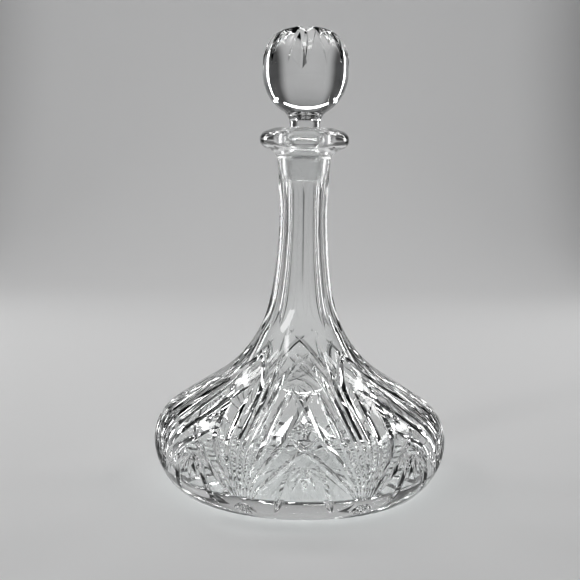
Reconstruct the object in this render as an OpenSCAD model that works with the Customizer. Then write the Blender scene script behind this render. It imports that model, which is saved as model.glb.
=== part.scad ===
// Ship's decanter in cut crystal: a wide low body, a long fluted neck, a flared lip and a cut ball stopper.
// The origin is the centre of the underside, Z is up, and the front of the pattern faces -Y.

/* [Body] */
// Widest diameter of the body
body_d = 181; // [172:1:192]
// Height of the widest ring above the table
wide_z = 27; // [25:0.5:29]
// Thickness of the glass wall
wall = 5; // [4.6:0.1:5.4]
// Thickness of the glass under the hollow
base_t = 14; // [12:0.5:16]
// Slope of the shoulder from level, in degrees
shoulder_slope = 33; // [31:0.5:35]
// Diameter of the hollow ground into the underside
hollow_d = 132; // [116:1:138]
// Depth of that hollow
hollow_deep = 1.5; // [1:0.1:2]

/* [Neck and lip] */
// Height of the decanter to the top of its lip
decanter_h = 217.4; // [211:0.2:227]
// Diameter of the neck at its waist
neck_d = 29.6; // [29:0.2:32]
// Diameter of the lip
lip_d = 54.2; // [50:0.2:58]
// Thickness of the rim of the lip
lip_t = 11.4; // [9.6:0.2:12]

/* [Stopper] */
// Diameter of the ball
ball_d = 51.8; // [46:0.2:56]
// Height of the ball beyond its diameter
ball_stretch = 5.4; // [3.4:0.2:6.4]
// Length of the ground plug
plug_len = 18.5; // [15:0.5:20]
// Gap between the plug and its seat
fit_gap = 0.15; // [0.1:0.05:0.25]

/* [Cutting] */
// Repeats of the pattern around the body
repeats = 8; // [7:1:9]
// Depth of the mitre cuts
mitre_deep = 2; // [1.4:0.1:2.4]
// Depth of the neck flutes
flute_deep = 1.2; // [0.8:0.1:1.4]
// Mitres around the ball
ball_cuts = 14; // [12:2:18]
// Depth of those mitres at the crown of the ball
ball_deep = 4.4; // [3.4:0.2:5]

/* [Hidden] */
$fn = 128;
glass = [0.86, 0.9, 0.92, 0.5];

// Radii of the arcs along the outside of the body
heel_spread = 8.4;
heel_arc = wide_z + heel_spread;
shoulder_arc = 24.5;
flare_arc = 74;
neck_arc = 306;
edge_bevel = 1;

// Places below the top of the lip, and how far the collar lies inside the lip
waist_drop = 50.4;
lip_crown = 1.8;
lip_deep = 17.8;
collar_in = 12.4;
plug_drop = 12.9;
mouth_bevel = 2.4;
// Rise of the ball's middle above the lip
ball_rise = 31.5;

wide_r = body_d / 2;
neck_r = neck_d / 2;
lip_r = lip_d / 2;
waist_z = decanter_h - waist_drop;
rim_r = lip_t / 2;
rim_z = decanter_h - rim_r - lip_crown;
collar_r = lip_r - collar_in;
lip_foot_z = decanter_h - lip_deep;

// Shoulder line and the two concave arcs that run tangent from it up the neck
slope_dir = [-cos(shoulder_slope), sin(shoulder_slope)];
slope_out = [sin(shoulder_slope), cos(shoulder_slope)];
heel_mid = [wide_r - heel_arc, wide_z];
shoulder_mid = [wide_r - shoulder_arc, wide_z];
shoulder_low = shoulder_mid + shoulder_arc * slope_out;
neck_mid = [neck_r + neck_arc, waist_z];
flare_base = shoulder_low + flare_arc * slope_out - neck_mid;
flare_b = flare_base * slope_dir;
flare_c = flare_base * flare_base - pow(neck_arc - flare_arc, 2);
shoulder_len = -flare_b + sqrt(flare_b * flare_b - flare_c);
shoulder_top = shoulder_low + shoulder_len * slope_dir;
flare_mid = shoulder_top + flare_arc * slope_out;
flare_dir = (flare_mid - neck_mid) / norm(flare_mid - neck_mid);
flare_top = neck_mid + neck_arc * flare_dir;

rest_r = wide_r - heel_arc + sqrt(heel_arc * heel_arc - wide_z * wide_z);
bevel_r = wide_r - heel_arc + sqrt(heel_arc * heel_arc - pow(wide_z - edge_bevel, 2));
hollow_arc = (pow(hollow_d / 2, 2) + hollow_deep * hollow_deep) / (2 * hollow_deep);

// Inside of the glass
bore_r = neck_r - wall;

// Ground plug and the seat that takes it
taper = 0.05;
plug_top_z = decanter_h - plug_drop;
plug_low_z = plug_top_z - plug_len;
plug_low_r = bore_r + 0.9;
plug_top_r = plug_low_r + taper * plug_len;
seat_low_z = plug_low_z - 1.5;
seat_low_r = plug_low_r + fit_gap - 1.5 * taper;
mouth_z = decanter_h - mouth_bevel;
seat_top_r = plug_low_r + fit_gap + taper * (mouth_z - plug_low_z);
mouth_r = seat_top_r + mouth_bevel / 1.5;

// Ball and shank
ball_r = ball_d / 2;
shank_in = 2.4;
shank_r = plug_top_r - shank_in;
ball_low_z = decanter_h + ball_rise;
ball_top_z = ball_low_z + ball_stretch;
shank_fillet = 9;
fillet_drop = sqrt(pow(ball_r + shank_fillet, 2) - pow(shank_r + shank_fillet, 2));
fillet_mid = [shank_r + shank_fillet, ball_low_z - fillet_drop];
waist_low_z = plug_top_z + 6;
crown_r = 0.13 * ball_r;
crown_deep = 1.5;

// Flute wheels, each tangent to the next at the floor of the flute
flute_top_wheel = 116;
flute_low_wheel = 50;
flute_join = neck_mid + (neck_arc + flute_deep) * flare_dir;
flute_low_mid = flute_join - flute_low_wheel * flare_dir;
flute_rise = 26;
flute_fall = 32;
flute_top_z = waist_z + flute_rise;
flute_low_z = flute_join.y - flute_fall;
flute_out = neck_r + flute_rise;
flute_half = 12;

sector = 360 / repeats;
half = sector / 2;
mitre_angle = 52;
leaf_angle = 64;
ball_angle = 58;
overrun = 1;
seam = 0.02;
// Height of the V wheel above its edge
v_high = 4.2;
// Height at which the mitres end below the flutes
cut_top_z = (shoulder_top.y + flare_top.y) / 2;
wheel_r = ball_r + 0.12;
wheel_deep = v_high + 1;
wheel_side = wheel_deep * tan(ball_angle);
far = 400;

// Outside radius of the body at height z
function body_r(z) =
    z < wide_z ? heel_mid.x + sqrt(heel_arc * heel_arc - pow(z - wide_z, 2)) :
    z < shoulder_low.y ? shoulder_mid.x + sqrt(shoulder_arc * shoulder_arc - pow(z - wide_z, 2)) :
    z < shoulder_top.y ? shoulder_low.x - (z - shoulder_low.y) / tan(shoulder_slope) :
    z < flare_top.y ? flare_mid.x - sqrt(flare_arc * flare_arc - pow(z - flare_mid.y, 2)) :
    neck_mid.x - sqrt(neck_arc * neck_arc - pow(z - waist_z, 2));

// Point on the body at angle a from the front, height z, and depth d below the surface
function on_body(a, z, d = 0) =
    let(lean = (body_r(z + 0.05) - body_r(z - 0.05)) / 0.1)
    let(out = [sin(a), -cos(a), -lean] / sqrt(1 + lean * lean))
    [body_r(z) * sin(a), -body_r(z) * cos(a), z] - d * out;

// Height in the pattern: -1 is the table, 0 the widest ring, 1 the end of the mitres
function cut_z(t) = t < 0 ? wide_z * (1 + t) : wide_z + t * (cut_top_z - wide_z);

module strip(z0, z1, out = far) {
    translate([0, z0]) square([out, z1 - z0]);
}

// Section above the widest ring, inset from the outside and carried up to height end_z.
// Each arc or line runs seam deep into the next, so that they cross instead of only touching.
module upper_side(inset, end_z) {
    low = shoulder_low - inset * slope_out;
    top = shoulder_top - inset * slope_out;
    bend_z = (neck_mid + (neck_arc + inset) * flare_dir).y;
    intersection() {
        translate(shoulder_mid) circle(shoulder_arc - inset);
        translate([shoulder_mid.x, wide_z]) square([far, low.y + 3 - wide_z]);
    }
    polygon([[0, wide_z], shoulder_mid, [shoulder_mid.x, low.y + 3], [0, low.y + 3]]);
    polygon([
        [0, low.y],
        low - seam * slope_out,
        top - seam * slope_out + 3 * slope_dir,
        [0, top.y + 3 * slope_dir.y]
    ]);
    difference() {
        translate([0, top.y]) square([top.x, end_z - top.y]);
        intersection() {
            translate(flare_mid) circle(flare_arc + inset + 2 * seam);
            strip(top.y - 1, bend_z + 8);
        }
        intersection() {
            translate(neck_mid) circle(neck_arc + inset);
            strip(bend_z, end_z + 1);
        }
    }
}

module body_outside() {
    intersection() {
        translate(heel_mid) circle(heel_arc);
        translate([heel_mid.x, edge_bevel]) square([far, wide_z - edge_bevel]);
    }
    polygon([[0, 0], [rest_r - edge_bevel, 0], [bevel_r, edge_bevel], [heel_mid.x, edge_bevel], [0, edge_bevel]]);
    translate([0, edge_bevel]) square([heel_mid.x, wide_z - edge_bevel]);
    upper_side(0, lip_foot_z + 2);
}

module lip_outside() {
    polygon([
        [0, lip_foot_z - 2],
        [neck_r - 1, lip_foot_z - 2],
        [body_r(lip_foot_z) + 2.2, lip_foot_z + 2.8],
        [lip_r - rim_r + 0.8, rim_z - 0.97 * rim_r],
        [lip_r - rim_r + 0.8, rim_z + 0.97 * rim_r],
        [collar_r, decanter_h],
        [0, decanter_h]
    ]);
    translate([lip_r - rim_r, rim_z]) circle(rim_r);
}

module body_inside() {
    translate([0, base_t]) square([heel_mid.x, wide_z - base_t]);
    intersection() {
        translate(heel_mid) circle(heel_arc - wall);
        translate([heel_mid.x - 1, base_t]) square([far, wide_z - base_t]);
    }
    upper_side(wall, seat_low_z + 1);
    polygon([
        [0, seat_low_z - 1],
        [bore_r - 1, seat_low_z - 1],
        [bore_r - 1, seat_low_z],
        [seat_low_r, seat_low_z],
        [seat_top_r, mouth_z],
        [mouth_r, decanter_h],
        [mouth_r, decanter_h + 1],
        [0, decanter_h + 1]
    ]);
}

// One flat flute, as the wheel leaves it along the neck and out over the flare
module flute_side() {
    intersection() {
        translate([neck_r - flute_deep - seam + flute_top_wheel, waist_z]) circle(flute_top_wheel);
        strip(waist_z - 5, flute_top_z, flute_out);
    }
    intersection() {
        translate(neck_mid) circle(neck_arc + flute_deep);
        strip(flute_join.y, waist_z, flute_out);
    }
    intersection() {
        translate(flute_low_mid + seam * flare_dir) circle(flute_low_wheel);
        strip(flute_low_z, flute_join.y + 4, flute_out);
    }
}

module flutes() {
    for (i = [0 : repeats - 1])
        rotate([0, 0, half + i * sector - 90])
            rotate([90, 0, 0])
                translate([0, 0, -flute_half]) linear_extrude(2 * flute_half) flute_side();
}

// Straight V cut from one point to the next, with a little overrun, opening along the outward direction
module v_cut(from, to, out, angle) {
    x = (to - from) / norm(to - from);
    lift = out - (out * x) * x;
    z = lift / norm(lift);
    y = cross(z, x);
    multmatrix([
        [y.x, z.x, x.x, from.x],
        [y.y, z.y, x.y, from.y],
        [y.z, z.z, x.z, from.z],
        [0, 0, 0, 1]
    ])
        translate([0, 0, -overrun]) linear_extrude(norm(to - from) + 2 * overrun)
            polygon([[0, 0], [v_high * tan(angle), v_high], [-v_high * tan(angle), v_high]]);
}

// Mitre made of straight strokes through a list of [share of half a sector, pattern height, share of the full depth]
module mitre(side, strokes, angle = mitre_angle) {
    for (i = [0 : len(strokes) - 2]) {
        p = strokes[i];
        q = strokes[i + 1];
        mid_a = side * (p[0] + q[0]) / 2 * half;
        mid_z = cut_z((p[1] + q[1]) / 2);
        v_cut(
            on_body(side * p[0] * half, cut_z(p[1]), p[2] * mitre_deep),
            on_body(side * q[0] * half, cut_z(q[1]), q[2] * mitre_deep),
            on_body(mid_a, mid_z, -1) - on_body(mid_a, mid_z),
            angle
        );
    }
}

// Mitres of one sheaf that lean to one side, and the leaf beside them; side is 1 or -1
module sheaf_side(side) {
    mitre(side, [[0.83, -0.39, 0], [0.53, 0, 0.6], [0.2, 0.18, 0.6], [-0.31, 0.36, 0]]);
    mitre(side, [
        [0.9, -0.41, 0],
        [0.72, 0.01, 0.55],
        [0.5, 0.2, 0.6],
        [0.25, 0.37, 0.7],
        [0, 0.53, 0.75],
        [-0.42, 0.67, 0]
    ]);
    mitre(side, [[0.87, -0.12, 0], [0.71, 0.21, 0.6], [0.58, 0.44, 0.65], [0.42, 0.67, 0]]);
    mitre(side, [[0.89, 0.47, 0], [0.68, 0.68, 0.8], [0.36, 0.8, 0.7], [-0.38, 0.935, 0]]);
    mitre(side, [[0.13, 0.23, 0], [0.27, 0, 0.45], [0.4, -0.54, 0]], leaf_angle);
}

module mitres() {
    for (i = [0 : repeats - 1])
        rotate([0, 0, i * sector]) {
            sheaf_side(1);
            sheaf_side(-1);
            mitre(1, [[1, -0.5, 0], [1, -0.13, 0.5], [1, 0.135, 0.6], [1, 0.32, 0.7], [1, 0.6, 0.8], [1, 0.97, 0]]);
        }
}

module decanter_body() {
    color(glass)
        difference() {
            rotate([0, 0, half / 2]) rotate_extrude() {
                body_outside();
                lip_outside();
            }
            rotate([0, 0, half / 2]) rotate_extrude() body_inside();
            translate([0, 0, hollow_deep - hollow_arc]) rotate_extrude() intersection() {
                circle(hollow_arc);
                translate([0, hollow_arc - 2.5 * hollow_deep]) square([far, far]);
            }
            flutes();
            mitres();
        }
}

module stopper_side() {
    intersection() {
        translate([0, ball_top_z]) circle(ball_r);
        translate([0, ball_top_z]) square(far);
    }
    translate([0, ball_low_z]) square([ball_r, ball_stretch]);
    intersection() {
        translate([0, ball_low_z]) circle(ball_r);
        translate([0, fillet_mid.y]) square([far, fillet_drop]);
    }
    difference() {
        polygon([[0, fillet_mid.y], fillet_mid, [0, ball_low_z]]);
        translate(fillet_mid) circle(shank_fillet + seam);
    }
    polygon([
        [0, plug_low_z],
        [plug_low_r - 0.8, plug_low_z],
        [plug_low_r + 0.8 * taper, plug_low_z + 0.8],
        [plug_top_r, plug_top_z],
        [shank_r, waist_low_z],
        [shank_r, fillet_mid.y + 1],
        [0, fillet_mid.y + 1]
    ]);
}

// V wheels dropped below the middle of the ball, so that each cut fades out at its widest ring
module ball_mitres() {
    for (i = [0 : ball_cuts - 1])
        rotate([0, 0, (i + 0.5) * 360 / ball_cuts])
            translate([0, 0, ball_top_z - ball_deep])
                rotate([90, 0, 0])
                    rotate([0, 0, -4])
                        rotate_extrude(angle = 92)
                            polygon([[wheel_r, 0], [wheel_r + wheel_deep, -wheel_side], [wheel_r + wheel_deep, wheel_side]]);
}

module ball_stopper() {
    color(glass)
        difference() {
            rotate_extrude() stopper_side();
            ball_mitres();
            translate([0, 0, ball_top_z + ball_r - ball_deep - crown_deep]) cylinder(r = crown_r, h = 2 * ball_deep);
        }
}

decanter_body();
ball_stopper();
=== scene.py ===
from math import acos, atan2, cos, pi, radians, sin, sqrt, tan

import bmesh
import bpy
from mathutils import Matrix, Vector


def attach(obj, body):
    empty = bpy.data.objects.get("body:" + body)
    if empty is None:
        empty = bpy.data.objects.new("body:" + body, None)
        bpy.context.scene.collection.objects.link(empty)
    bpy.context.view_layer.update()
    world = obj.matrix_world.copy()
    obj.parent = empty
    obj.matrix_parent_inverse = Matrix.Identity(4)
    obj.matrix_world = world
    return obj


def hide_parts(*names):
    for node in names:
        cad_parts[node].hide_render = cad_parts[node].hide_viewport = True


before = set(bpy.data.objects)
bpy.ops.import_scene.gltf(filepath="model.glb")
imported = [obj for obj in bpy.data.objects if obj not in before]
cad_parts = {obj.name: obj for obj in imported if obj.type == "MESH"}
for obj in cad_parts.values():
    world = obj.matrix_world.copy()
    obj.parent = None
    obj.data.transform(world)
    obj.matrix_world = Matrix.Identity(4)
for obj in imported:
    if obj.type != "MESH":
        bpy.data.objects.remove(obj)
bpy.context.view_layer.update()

MM = 0.001

# Body of the solid, in millimetres
WIDE_R, WIDE_Z = 90.5, 27.0
WALL, BASE_T = 5.0, 14.0
FLOOR_FILLET = 1.6
SLOPE = radians(33)
HEEL_SPREAD = 8.4
HEEL_ARC = WIDE_Z + HEEL_SPREAD
SHOULDER_ARC, FLARE_ARC, NECK_ARC = 24.5, 74.0, 306.0
EDGE_BEVEL = 1.0
HOLLOW_R, HOLLOW_DEEP = 66.0, 1.5

# Neck and lip
TOP_Z = 217.4
NECK_R = 14.8
WAIST_DROP = 50.4
WAIST_Z = TOP_Z - WAIST_DROP
LIP_R, RIM_R, LIP_CROWN = 27.1, 5.7, 1.8
RIM_Z = TOP_Z - RIM_R - LIP_CROWN
LIP_DEEP = 17.8
LIP_FOOT_Z = TOP_Z - LIP_DEEP
MOUTH_BEVEL = 2.4
MOUTH_Z = TOP_Z - MOUTH_BEVEL

# Ground plug and the seat that takes it
PLUG_DROP, PLUG_LEN = 12.9, 18.5
PLUG_TOP_Z = TOP_Z - PLUG_DROP
PLUG_LOW_Z = PLUG_TOP_Z - PLUG_LEN
PLUG_EDGE = 0.8
TAPER, FIT_GAP = 0.05, 0.15
SEAT_STEP, SEAT_RUN = 0.9, 1.5

# Ball and shank
BALL_R, BALL_STRETCH, BALL_RISE = 25.9, 5.4, 31.5
BALL_LOW_Z = TOP_Z + BALL_RISE
BALL_TOP_Z = BALL_LOW_Z + BALL_STRETCH
CROWN_R = 0.13 * BALL_R
SHANK_IN, SHANK_FILLET = 2.4, 9.0

# Cutting
REPEATS = 8
HALF = pi / REPEATS
BALL_CUTS = 14
BALL_DEEP = 4.4
FLUTE_DEEP = 1.2
V_ANGLE, LEAF_ANGLE, BALL_ANGLE, RAY_ANGLE = radians(52), radians(64), radians(58), radians(77)
# Depth at the ends of a stroke, where the wheel has left the glass
RUN_OUT = -0.3
# Depth of the thinnest cutter
LEAST_DEEP = 0.12

# How far the polished surface lies inside the solids
SKIN = 0.1
# Faces around each turned shape
TURN = 256


def vec(x, y):
    return Vector((x, y))


# Shoulder line and the two concave arcs that run tangent from it up the neck
slope_dir = vec(-cos(SLOPE), sin(SLOPE))
slope_out = vec(sin(SLOPE), cos(SLOPE))
heel_mid = vec(WIDE_R - HEEL_ARC, WIDE_Z)
shoulder_mid = vec(WIDE_R - SHOULDER_ARC, WIDE_Z)
shoulder_low = shoulder_mid + SHOULDER_ARC * slope_out
neck_mid = vec(NECK_R + NECK_ARC, WAIST_Z)
flare_base = shoulder_low + FLARE_ARC * slope_out - neck_mid
flare_b = flare_base.dot(slope_dir)
flare_c = flare_base.dot(flare_base) - (NECK_ARC - FLARE_ARC) ** 2
shoulder_top = shoulder_low + (sqrt(flare_b**2 - flare_c) - flare_b) * slope_dir
flare_mid = shoulder_top + FLARE_ARC * slope_out
flare_dir = (flare_mid - neck_mid).normalized()
flare_top = neck_mid + NECK_ARC * flare_dir
bore_r = NECK_R - WALL
plug_low_r = bore_r + SEAT_STEP
plug_top_r = plug_low_r + TAPER * (PLUG_TOP_Z - PLUG_LOW_Z)
shank_r = plug_top_r - SHANK_IN


def body_r(z):
    """Radius of the polished outside at height z."""
    if z < WIDE_Z:
        r = heel_mid.x + sqrt(HEEL_ARC**2 - (z - WIDE_Z) ** 2)
    elif z < shoulder_low.y:
        r = shoulder_mid.x + sqrt(SHOULDER_ARC**2 - (z - WIDE_Z) ** 2)
    elif z < shoulder_top.y:
        r = shoulder_low.x - (z - shoulder_low.y) / tan(SLOPE)
    elif z < flare_top.y:
        r = flare_mid.x - sqrt(FLARE_ARC**2 - (z - flare_mid.y) ** 2)
    else:
        r = neck_mid.x - sqrt(NECK_ARC**2 - (z - WAIST_Z) ** 2)
    return r - SKIN


def lean(z):
    """Change of that radius with height."""
    step = 0.05
    return (body_r(z + step) - body_r(z - step)) / (2 * step)


def on_body(a, z):
    """Point on the outside at angle a from the front and height z, and the outward direction there."""
    r = body_r(z)
    out = Vector((sin(a), -cos(a), -lean(z))).normalized()
    return Vector((r * sin(a), -r * cos(a), z)), out


def under_z(r):
    """Height of the underside at radius r: the ground hollow, then the ring that it rests on."""
    ball = (HOLLOW_R**2 + HOLLOW_DEEP**2) / (2 * HOLLOW_DEEP)
    return max(HOLLOW_DEEP - ball + sqrt(ball**2 - r**2), 0) + SKIN


def arc(mid, radius, start, end, count):
    """Points on a circle from one angle to another, both included."""
    steps = [start + (end - start) * i / count for i in range(count + 1)]
    return [vec(mid[0] + radius * cos(a), mid[1] + radius * sin(a)) for a in steps]


def blend(t, a, b, c, d):
    """Catmull-Rom blend at share t of the way from b to c."""
    return 0.5 * (2 * b + (c - a) * t + (2 * a - 5 * b + 4 * c - d) * t**2 + (3 * b - a - 3 * c + d) * t**3)


def spline(points, per):
    """Smooth curve through tuples of numbers, with per steps between one and the next."""
    ends = [points[0]] + list(points) + [points[-1]]
    curve = []
    for i in range(len(points) - 1):
        p0, p1, p2, p3 = ends[i : i + 4]
        for k in range(per):
            t = k / per
            curve.append(tuple(blend(t, *places) for places in zip(p0, p1, p2, p3)))
    return curve + [tuple(points[-1])]


def new_object(name, verts, faces):
    mesh = bpy.data.meshes.new(name)
    mesh.from_pydata([Vector(v) * MM for v in verts], [], faces)
    bm = bmesh.new()
    bm.from_mesh(mesh)
    bmesh.ops.recalc_face_normals(bm, faces=bm.faces)
    bm.to_mesh(mesh)
    bm.free()
    obj = bpy.data.objects.new(name, mesh)
    bpy.context.scene.collection.objects.link(obj)
    return obj


def lathe(name, side):
    """Closed turned shape. side runs from the axis round the section and back to the axis."""
    inner = side[1:-1]
    verts = [(0, 0, side[0][1])]
    for r, z in inner:
        verts += [(r * cos(2 * pi * j / TURN), r * sin(2 * pi * j / TURN), z) for j in range(TURN)]
    verts.append((0, 0, side[-1][1]))
    last = len(verts) - 1
    faces = []
    for j in range(TURN):
        k = (j + 1) % TURN
        faces.append((0, 1 + k, 1 + j))
        for i in range(len(inner) - 1):
            a, b = 1 + i * TURN, 1 + (i + 1) * TURN
            faces.append((a + j, a + k, b + k, b + j))
        top = 1 + (len(inner) - 1) * TURN
        faces.append((top + j, top + k, last))
    return new_object(name, verts, faces)


def carve(target, cutter):
    """Takes the cutter out of the target and deletes it."""
    cut = target.modifiers.new("cut", "BOOLEAN")
    cut.operation = "DIFFERENCE"
    cut.solver = "MANIFOLD"
    cut.object = cutter
    scene_state = bpy.context.evaluated_depsgraph_get()
    mesh = bpy.data.meshes.new_from_object(target.evaluated_get(scene_state))
    target.modifiers.clear()
    old = target.data
    target.data = mesh
    bpy.data.meshes.remove(old)
    worn = cutter.data
    bpy.data.objects.remove(cutter)
    bpy.data.meshes.remove(worn)


def tube_faces(base, size, count):
    """Faces of a closed tube of count rings with size points each, numbered from base."""
    faces = []
    for i in range(count - 1):
        a, b = base + i * size, base + (i + 1) * size
        for j in range(size):
            k = (j + 1) % size
            faces.append((a + j, a + k, b + k, b + j))
    end = base + (count - 1) * size
    return faces + [tuple(range(base, base + size)), tuple(reversed(range(end, end + size)))]


def sweep(name, stations, copies):
    """Cutter through stations of (root point, outward, sideways, section), repeated around the axis.
    A section is a list of (sideways, outward) places around the cutter."""
    verts, faces = [], []
    for n in range(copies):
        turn = Matrix.Rotation(2 * pi * n / copies, 3, "Z")
        base = len(verts)
        for root, out, side, section in stations:
            verts += [turn @ (root + side * x + out * y) for x, y in section]
        faces += tube_faces(base, len(stations[0][3]), len(stations))
    return new_object(name, verts, faces)


def v_section(depth, angle=V_ANGLE, high=2.5, arris=0.2):
    """V with a narrow facet along the root and along each arris, as acid polish leaves them."""
    flat, chamfer = 0.09, 0.15
    low = max(depth, LEAST_DEEP)
    ease = min(arris, 0.4 * low)
    r0 = min(flat, 0.3 * low)
    r1 = r0 + min(chamfer, 0.3 * low)
    half_tilt = (pi / 2 - angle) / 2
    y0 = (r1 - r0) * tan(half_tilt)
    y1 = low - ease
    x1 = r1 + (y1 - y0) * tan(angle)
    y2 = low + high
    x2 = x1 + (y2 - y1) / tan(half_tilt)
    right = [(r0, 0), (r1, y0), (x1, y1), (x2, y2)]
    return right + [(-x, y) for x, y in reversed(right)]


def clipped(section, room):
    """The same section with upright sides where it would be wider than room."""
    right = section[: len(section) // 2]
    right.append((right[-1][0], right[-1][1] + 1))
    kept = [right[0]]
    for (xa, ya), (xb, yb) in zip(right, right[1:]):
        if xa < room < xb:
            yb = ya + (yb - ya) * (room - xa) / (xb - xa)
        kept.append((min(xb, room), yb))
    return kept + [(-x, y) for x, y in reversed(kept)]


def stations_on(points, outs, depths, section):
    """Stations of a cutter whose root lies at each depth below the points."""
    stations = []
    for i, (p, out, d) in enumerate(zip(points, outs, depths)):
        along = points[min(i + 1, len(points) - 1)] - points[max(i - 1, 0)]
        side = along.cross(out).normalized()
        up = side.cross(along).normalized()
        stations.append((p - up * d, up, side, section(d)))
    return stations


def mitre(target, strokes, per=7, angle=V_ANGLE):
    """V cut over the body through (share of half a sector, height, depth), in every sector."""
    path = spline(strokes, per)
    spots = [on_body(a * HALF, z) for a, z, d in path]
    points = [p for p, out in spots]
    outs = [out for p, out in spots]
    stations = stations_on(points, outs, [d for a, z, d in path], lambda d: v_section(d, angle))
    carve(target, sweep("mitre", stations, REPEATS))


def mitre_pair(target, strokes, **how):
    """The same cut to the right and to the left."""
    mitre(target, strokes, **how)
    mitre(target, [(-a, z, d) for a, z, d in strokes], **how)


def ray(target, a, z, heading, start, end, deep):
    """Short V cut from a centre on the body, in every sector.
    heading is clockwise from straight up, and lengths are along the surface."""
    rise = 1 / sqrt(1 + lean(z) ** 2)
    strokes = []
    for i in range(7):
        t = i / 3 - 1
        s = start + (end - start) * i / 6
        to_z = z + s * cos(heading) * rise
        to_a = a + s * sin(heading) / body_r(to_z)
        strokes.append((to_a / HALF, to_z, deep * (1 - t**2) - LEAST_DEEP * abs(t)))
    mitre(target, strokes, per=2)


def outer_side():
    """Section of the decanter from the middle of the underside, over the lip, to the middle of the floor."""
    side = [vec(r, under_z(r)) for r in [HOLLOW_R * i / 12 for i in range(13)]]
    rest_r = heel_mid.x + sqrt(HEEL_ARC**2 - WIDE_Z**2)
    side.append(vec(rest_r - EDGE_BEVEL - SKIN, SKIN))
    heel = [EDGE_BEVEL + (WIDE_Z - EDGE_BEVEL) * i / 22 for i in range(23)]
    bend = [WIDE_Z + (shoulder_low.y - WIDE_Z) * i / 18 for i in range(1, 19)]
    line = [shoulder_low.y + (shoulder_top.y - shoulder_low.y) * i / 12 for i in range(1, 13)]
    sweep_up = [shoulder_top.y + (flare_top.y - shoulder_top.y) * i / 26 for i in range(1, 27)]
    neck_end = LIP_FOOT_Z - 3
    neck = [flare_top.y + (neck_end - flare_top.y) * i / 20 for i in range(1, 21)]
    side += [vec(body_r(z), z) for z in heel + bend + line + sweep_up + neck]
    foot_r = body_r(LIP_FOOT_Z)
    rim = vec(LIP_R - RIM_R, RIM_Z)
    # Fillet under the lip, round the rim, and the shallow dish on top
    lip = [tuple(side[-1]), (foot_r + 0.3, LIP_FOOT_Z + 0.2), (foot_r + 2.4, LIP_FOOT_Z + 2.9)]
    lip += [tuple(p) for p in arc(rim, RIM_R - SKIN, radians(-78), radians(62), 9)]
    lip += [(LIP_R - 8.2, TOP_Z - 0.75), (LIP_R - 11.4, TOP_Z - 0.2), (LIP_R - 12.3, TOP_Z - SKIN)]
    side += [vec(*p) for p in spline(lip, 4)[1:]]
    # Bevel of the mouth and the tapered seat
    seat_low = vec(plug_low_r + FIT_GAP - SEAT_RUN * TAPER, PLUG_LOW_Z - SEAT_RUN)
    seat_top = vec(plug_low_r + FIT_GAP + TAPER * (MOUTH_Z - PLUG_LOW_Z), MOUTH_Z)
    side += [vec(seat_top.x + 1.7, TOP_Z - SKIN), vec(seat_top.x + 1.4, TOP_Z - 0.4)]
    side += [seat_top + vec(0.1, 0)]
    side += [seat_low + (seat_top - seat_low) * t for t in (0.66, 0.33, 0)]
    # Inside of the glass
    inner_flare = neck_mid + (NECK_ARC + WALL) * flare_dir
    for i in range(21):
        z = seat_low.y + (inner_flare.y - seat_low.y) * i / 20
        side.append(vec(neck_mid.x - sqrt((NECK_ARC + WALL) ** 2 - (z - WAIST_Z) ** 2), z))
    inner_top = shoulder_top - WALL * slope_out
    start = atan2(flare_dir.y, flare_dir.x) % (2 * pi)
    end = atan2(-slope_out.y, -slope_out.x) % (2 * pi)
    side += arc(flare_mid, FLARE_ARC + WALL, start, end, 22)[1:]
    inner_low = shoulder_low - WALL * slope_out
    side += [inner_top + (inner_low - inner_top) * i / 10 for i in range(1, 11)]
    side += arc(shoulder_mid, SHOULDER_ARC - WALL, pi / 2 - SLOPE, 0, 14)[1:]
    inner_heel = HEEL_ARC - WALL
    fillet_z = BASE_T + FLOOR_FILLET
    reach = sqrt((inner_heel - FLOOR_FILLET) ** 2 - (WIDE_Z - fillet_z) ** 2)
    touch = atan2(fillet_z - WIDE_Z, reach)
    floor_r = heel_mid.x + reach
    side += arc(heel_mid, inner_heel, 0, touch, 14)[1:]
    side += arc((floor_r, fillet_z), FLOOR_FILLET, touch, -pi / 2, 5)[1:]
    side += [vec(floor_r * (1 - i / 8), BASE_T) for i in range(1, 9)]
    return side


def flute_cutter(first):
    """Four of the neck's flutes, a quarter turn apart, each slightly hollow across."""
    top_wheel, low_wheel = 116.0, 50.0
    rise, fall = 26.0, 28.0
    join = neck_mid + (NECK_ARC + FLUTE_DEEP) * flare_dir
    low_mid = join - low_wheel * flare_dir
    floor = []
    for i in range(21):
        z = WAIST_Z + rise * (1 - i / 20)
        floor.append(vec(NECK_R - FLUTE_DEEP + top_wheel - sqrt(top_wheel**2 - (z - WAIST_Z) ** 2), z))
    for i in range(1, 25):
        z = WAIST_Z + (join.y - WAIST_Z) * i / 24
        floor.append(vec(neck_mid.x - sqrt((NECK_ARC + FLUTE_DEEP) ** 2 - (z - WAIST_Z) ** 2), z))
    for i in range(1, 25):
        z = join.y - fall * i / 24
        floor.append(vec(low_mid.x - sqrt(low_wheel**2 - (z - low_mid.y) ** 2), z))
    wide, far, hollow = 7.6, 46.0, 0.5
    across = [wide * (i / 4 - 1) for i in range(9)]
    verts, faces = [], []
    for n in range(4):
        a = first + n * pi / 2
        out = Vector((sin(a), -cos(a), 0))
        side = Vector((cos(a), sin(a), 0))
        base = len(verts)
        for p in floor:
            up = Vector((0, 0, p.y))
            verts += [out * (p.x - SKIN - hollow * (1 - (x / wide) ** 2)) + side * x + up for x in across]
            verts += [out * far + side * wide + up, out * far - side * wide + up]
        faces += tube_faces(base, len(across) + 2, len(floor))
    return new_object("flute", verts, faces)


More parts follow.
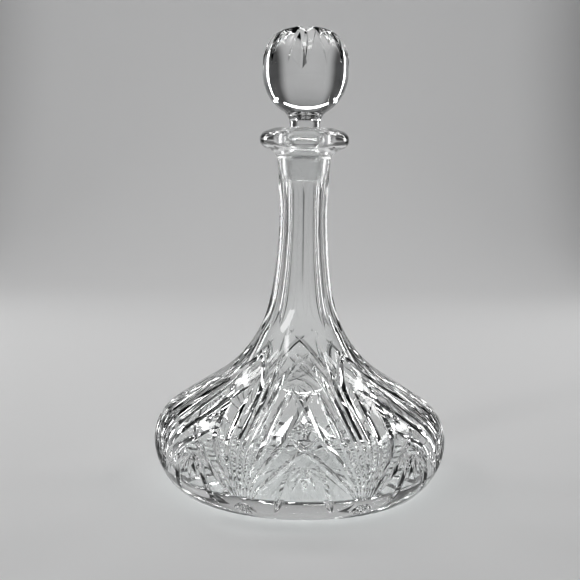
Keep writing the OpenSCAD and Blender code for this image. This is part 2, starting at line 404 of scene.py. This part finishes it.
def base_star(target, rays=32):
    """Star cut into the underside, whose broad rays run out through the edge of the heel."""
    start, full, reach, deep = 22.0, 68.0, 84.0, 1.3
    radii = [start + (reach - start) * i / 12 for i in range(13)]
    points = [Vector((0, -r, under_z(r))) for r in radii]
    depths = [deep * min((r - start) / (full - start), 1) - 0.08 for r in radii]
    outs = [Vector((0, 0, -1))] * len(radii)
    for first in range(2):
        stations = stations_on(points, outs, depths, lambda d: v_section(d, RAY_ANGLE, 0.4))
        star = sweep("ray", stations, rays // 2)
        star.rotation_euler = (0, 0, first * 2 * pi / rays)
        bpy.context.view_layer.update()
        carve(target, star)


def finish_mesh(obj, angle):
    """Smooth shading with crisp edges where the cuts meet."""
    mesh = obj.data
    mesh.polygons.foreach_set("use_smooth", [True] * len(mesh.polygons))
    mesh.set_sharp_from_angle(angle=angle)
    mesh.update()


def make_body():
    body = lathe("cut_body", outer_side())
    for first in (HALF, HALF + pi / 4):
        carve(body, flute_cutter(first))
    # Fans of mitres that rise from the foot of each sheaf and cross the next sheaf's on the panel's middle
    mitre_pair(body, [
        (0.86, 13, RUN_OUT), (0.73, 19.5, 0.8), (0.53, 27, 1.3),
        (0.2, 38, 1.5), (0, 42, 1.5), (-0.33, 50, RUN_OUT),
    ])
    mitre_pair(body, [
        (0.91, 12, RUN_OUT), (0.83, 19.5, 0.7), (0.72, 27.5, 1.2), (0.5, 39.5, 1.5),
        (0.25, 50.5, 1.7), (0, 60.5, 1.6), (-0.42, 69, RUN_OUT),
    ])
    mitre_pair(body, [
        (0.945, 11.4, RUN_OUT), (0.89, 19.5, 0.6), (0.83, 28, 1.0), (0.71, 40, 1.4),
        (0.58, 55, 1.5), (0.42, 69, RUN_OUT),
    ])
    mitre_pair(body, [
        (0.975, 11, RUN_OUT), (0.95, 19.5, 0.5), (0.92, 28, 0.7), (0.88, 40, 1.0), (0.86, 52, 1.3),
        (0.8, 62, 1.6), (0.68, 70, 1.7), (0.36, 77.6, 1.5), (0, 82.2, 1.1), (-0.38, 86, RUN_OUT),
    ])
    mitre(body, [
        (1, 10.5, RUN_OUT), (1, 18, 0.6), (1, 28, 0.9), (1, 40, 1.2),
        (1, 52, 1.4), (1, 64, 1.5), (1, 76, 1.0), (1, 88, RUN_OUT),
    ])
    # Star in the diamond between the crossings
    for i in range(4):
        ray(body, 0, 51.5, i * pi / 4 + pi / 8, -5.8, 5.8, 1.1)
    # Fan below the diamond, and the broad leaves beside it
    for i in range(7):
        ray(body, 0, 35, pi + (i - 3) * radians(23), 0.6, 17.5 - 1.4 * abs(i - 3), 1.1)
    mitre_pair(body, [
        (0.13, 41, RUN_OUT), (0.2, 34, 0.8), (0.27, 27, 1.1),
        (0.34, 19.5, 1.1), (0.42, 12, 0.9), (0.5, 4.5, RUN_OUT),
    ], angle=LEAF_ANGLE)
    # Stalks that spread over the heel below the foot of each sheaf
    for i in range(5):
        ray(body, HALF, 12, pi + (i - 2) * radians(21), 0.8, 10.5, 0.9)
    base_star(body)
    finish_mesh(body, radians(11))
    return body


def stopper_side():
    """Section of the stopper from the middle of the plug's end to the middle of the crown."""
    fillet_r = shank_r + SHANK_FILLET
    drop = sqrt((BALL_R + SHANK_FILLET) ** 2 - fillet_r**2)
    fillet_z = BALL_LOW_Z - drop
    flat_r = plug_low_r - PLUG_EDGE
    side = [vec(0, PLUG_LOW_Z), vec(flat_r / 2, PLUG_LOW_Z), vec(flat_r, PLUG_LOW_Z)]
    side += arc((flat_r, PLUG_LOW_Z + PLUG_EDGE), PLUG_EDGE, -pi / 2, 0, 4)[1:]
    side += [vec(plug_low_r + TAPER * s, PLUG_LOW_Z + s) for s in (4, 8, 12, 16, 18)]
    shank_low_z = PLUG_TOP_Z + 6.5
    side += [vec(*p) for p in spline([
        (plug_top_r - 0.05, PLUG_TOP_Z - 0.3), (plug_top_r - 0.5, PLUG_TOP_Z + 0.7),
        (shank_r + 0.6, PLUG_TOP_Z + 4.2), (shank_r - SKIN, shank_low_z),
    ], 4)]
    side += [vec(shank_r - SKIN, shank_low_z + (fillet_z - shank_low_z) * t) for t in (0.5, 1)]
    touch = atan2(drop, -fillet_r)
    side += arc((fillet_r, fillet_z), SHANK_FILLET + SKIN, pi, touch, 6)[1:]
    side += arc((0, BALL_LOW_Z), BALL_R - SKIN, touch - pi, 0, 40)[1:]
    side += arc((0, BALL_TOP_Z), BALL_R - SKIN, 0, acos(CROWN_R / BALL_R), 44)
    # Recess where the cuts meet
    root_z = side[-1].y - BALL_DEEP
    side += [vec(CROWN_R - 0.3, root_z - 0.6), vec(CROWN_R / 2, root_z - 1.2), vec(0, root_z - 1.4)]
    return side


def make_stopper():
    stopper = lathe("cut_stopper", stopper_side())
    # V wheels as large as the ball, dropped below its middle, so that each cut fades out at the widest ring
    mid = Vector((0, 0, BALL_TOP_Z - BALL_DEEP))
    wheel_r = BALL_R + LEAST_DEEP - SKIN
    low, high = radians(-6), radians(88)
    for first in range(2):
        turn = Matrix.Rotation((2 * first + 1) * pi / BALL_CUTS, 3, "Z")
        stations = []
        for i in range(41):
            a = low + (high - low) * i / 40
            out = turn @ Vector((cos(a), 0, sin(a)))
            # Cutters of one pass stay clear of each other
            room = 0.97 * tan(2 * pi / BALL_CUTS) * (BALL_R + 2) * cos(a)
            section = clipped(v_section(BALL_DEEP * sin(a), BALL_ANGLE, 1.2, 0.34), room)
            stations.append((mid + out * wheel_r, out, turn @ Vector((0, 1, 0)), section))
        carve(stopper, sweep("ball_mitre", stations, BALL_CUTS // 2))
    finish_mesh(stopper, radians(9))
    return stopper


def maths(mat):
    """Function that adds a maths node to the material and returns its output."""
    nodes, links = mat.node_tree.nodes, mat.node_tree.links

    def math(operation, a, b=None):
        node = nodes.new("ShaderNodeMath")
        node.operation = operation
        for socket, value in zip(node.inputs, (a, b)):
            if isinstance(value, (int, float)):
                socket.default_value = value
            elif value is not None:
                links.new(value, socket)
        return node.outputs[0]

    return math


def crystal(name, ground_low, ground_high, ground_r):
    """Lead crystal with a faint polish ripple.
    What lies between the two heights and within ground_r of the axis is ground."""
    mat = bpy.data.materials.new(name)
    mat.use_nodes = True
    nodes, links = mat.node_tree.nodes, mat.node_tree.links
    shader = nodes["Principled BSDF"]
    shader.inputs["Base Color"].default_value = (0.985, 0.99, 0.988, 1)
    shader.inputs["IOR"].default_value = 1.54
    shader.inputs["Transmission Weight"].default_value = 1.0

    math = maths(mat)
    place = nodes.new("ShaderNodeTexCoord").outputs["Object"]
    split = nodes.new("ShaderNodeSeparateXYZ")
    links.new(place, split.inputs[0])
    x, y, z = split.outputs
    reach = math("SQRT", math("ADD", math("MULTIPLY", x, x), math("MULTIPLY", y, y)))
    band = math("MULTIPLY", math("GREATER_THAN", z, ground_low * MM), math("LESS_THAN", z, ground_high * MM))
    band = math("MULTIPLY", band, math("LESS_THAN", reach, ground_r * MM))
    grain = nodes.new("ShaderNodeTexNoise")
    grain.inputs["Scale"].default_value = 900
    links.new(place, grain.inputs["Vector"])
    frost = math("MULTIPLY", band, math("ADD", math("MULTIPLY", grain.outputs["Fac"], 0.2), 0.14))
    links.new(frost, shader.inputs["Roughness"])

    ripple = nodes.new("ShaderNodeTexNoise")
    ripple.inputs["Scale"].default_value = 70
    ripple.inputs["Detail"].default_value = 1
    links.new(place, ripple.inputs["Vector"])
    bump = nodes.new("ShaderNodeBump")
    bump.inputs["Strength"].default_value = 0.02
    bump.inputs["Distance"].default_value = 0.001
    links.new(ripple.outputs["Fac"], bump.inputs["Height"])
    links.new(bump.outputs["Normal"], shader.inputs["Normal"])

    # Lamps shine through the glass instead of leaving a black shadow
    clear = nodes.new("ShaderNodeBsdfTransparent")
    clear.inputs["Color"].default_value = (0.74, 0.75, 0.75, 1)
    mix = nodes.new("ShaderNodeMixShader")
    links.new(nodes.new("ShaderNodeLightPath").outputs["Is Shadow Ray"], mix.inputs["Fac"])
    links.new(shader.outputs["BSDF"], mix.inputs[1])
    links.new(clear.outputs["BSDF"], mix.inputs[2])
    links.new(mix.outputs["Shader"], nodes["Material Output"].inputs["Surface"])
    return mat


body = make_body()
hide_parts("decanter_body")
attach(body, "decanter")
body.data.materials.clear()
body.data.materials.append(crystal("body_crystal_cut", PLUG_LOW_Z - 1.6, TOP_Z - 3, plug_top_r + 1.2))

stopper = make_stopper()
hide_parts("ball_stopper")
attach(stopper, "stopper")
stopper.data.materials.clear()
stopper.data.materials.append(crystal("stopper_crystal_cut", PLUG_LOW_Z + 0.5, PLUG_TOP_Z, plug_top_r + 0.5))


def make_paper():
    """Pale paper with painted shade that darkens it softly towards its back corners, so that the cuts' edges
    show in the glass.
    """
    # The dark grey is painted shade, not a colour of the paper itself
    pale, dark = 0.82, 0.08
    mat = bpy.data.materials.new("sweep_paper")
    mat.use_nodes = True
    nodes, links = mat.node_tree.nodes, mat.node_tree.links
    math = maths(mat)

    def eased(value, start, end):
        node = nodes.new("ShaderNodeMapRange")
        node.interpolation_type = "SMOOTHSTEP"
        node.inputs["From Min"].default_value = start
        node.inputs["From Max"].default_value = end
        links.new(value, node.inputs["Value"])
        return node.outputs["Result"]

    split = nodes.new("ShaderNodeSeparateXYZ")
    links.new(nodes.new("ShaderNodeTexCoord").outputs["Object"], split.inputs[0])
    aside = eased(math("ABSOLUTE", split.outputs["X"]), 0.42, 0.8)
    behind = eased(split.outputs["Y"], 0.2, 0.7)
    # Painted shade: strongest where the paper lies both to the side and behind the glass
    painted_shade = math("MULTIPLY", aside, behind)
    shader = nodes["Principled BSDF"]
    shader.inputs["Roughness"].default_value = 0.7
    links.new(math("ADD", math("MULTIPLY", painted_shade, dark - pale), pale), shader.inputs["Base Color"])
    return mat


def make_stage():
    """Floor that sweeps up into a backdrop."""
    back, radius, high, wide, front = 1.3, 0.5, 2.2, 1.5, -3.0
    turn = vec(back - radius, radius)
    side = [(front, 0), (turn.x, 0)]
    side += [tuple(p) for p in arc(turn, radius, -pi / 2, 0, 16)[1:]]
    side.append((back, high))
    verts = [(x, y, z) for y, z in side for x in (-wide, wide)]
    faces = [(2 * i, 2 * i + 1, 2 * i + 3, 2 * i + 2) for i in range(len(side) - 1)]
    mesh = bpy.data.meshes.new("sweep")
    mesh.from_pydata(verts, [], faces)
    mesh.polygons.foreach_set("use_smooth", [True] * len(mesh.polygons))
    floor = bpy.data.objects.new("sweep", mesh)
    bpy.context.scene.collection.objects.link(floor)
    mesh.materials.append(make_paper())


def area_light(name, place, target, size, power):
    data = bpy.data.lights.new(name, "AREA")
    data.shape = "RECTANGLE"
    data.size, data.size_y = size
    data.energy = power
    light = bpy.data.objects.new(name, data)
    bpy.context.scene.collection.objects.link(light)
    light.location = place
    light.rotation_euler = (Vector(target) - Vector(place)).to_track_quat("-Z", "Y").to_euler()


def make_lights():
    """Key light from the left, and narrow strips that the flanks and edges of the cuts mirror."""
    middle = (0, 0, 0.13)
    area_light("key", (-0.8, -0.75, 0.95), middle, (0.15, 0.8), 2.4)
    for side in (-1, 1):
        area_light("rear", (0.7 * side, 0.55, 0.45), middle, (0.07, 0.9), 1.3)
        area_light("top", (0.44 * side, 0.1, 1.2), (0.3 * side, 0.101, 0), (0.025, 1.8), 1.6)
        area_light("bank", (0.85 * side, 0.3, 1.05), (0, 0.3, 0.2), (1.3, 0.07), 2.0)
    area_light("back", (0, 0.9, 1.1), middle, (1.2, 0.1), 2.4)


def make_world():
    """Pale at the horizon and dark overhead, so that the strip lights stand out in the glass."""
    world = bpy.data.worlds.new("studio")
    world.use_nodes = True
    nodes, links = world.node_tree.nodes, world.node_tree.links
    split = nodes.new("ShaderNodeSeparateXYZ")
    links.new(nodes.new("ShaderNodeTexCoord").outputs["Generated"], split.inputs[0])
    ramp = nodes.new("ShaderNodeMapRange")
    for socket, value in {"From Min": 0.1, "From Max": 0.5, "To Min": 0.34, "To Max": 0.03}.items():
        ramp.inputs[socket].default_value = value
    links.new(split.outputs["Z"], ramp.inputs["Value"])
    background = nodes["Background"]
    background.inputs["Color"].default_value = (0.97, 0.98, 1, 1)
    links.new(ramp.outputs["Result"], background.inputs["Strength"])
    bpy.context.scene.world = world


def make_camera():
    """Two degrees beside the front, just below the height of the lip, pitched down."""
    azimuth, far, high = radians(2.0), 0.580, 0.1997
    pitch, aim_left, roll = radians(8.0), radians(0.725), radians(0.9)
    focal_px, frame_px, sensor = 948.4, 580, 36.0
    data = bpy.data.cameras.new("camera")
    data.sensor_width = sensor
    data.sensor_fit = "HORIZONTAL"
    data.lens = focal_px / frame_px * sensor
    data.clip_start, data.clip_end = 0.02, 50
    camera = bpy.data.objects.new("camera", data)
    bpy.context.scene.collection.objects.link(camera)
    place = Matrix.Translation((-far * sin(azimuth), -far * cos(azimuth), high))
    aim = Matrix.Rotation(aim_left - azimuth, 4, "Z") @ Matrix.Rotation(pi / 2 - pitch, 4, "X")
    camera.matrix_world = place @ aim @ Matrix.Rotation(roll, 4, "Z")
    bpy.context.scene.camera = camera


make_stage()
make_lights()
make_world()
make_camera()
bpy.context.scene.view_settings.view_transform = "Standard"
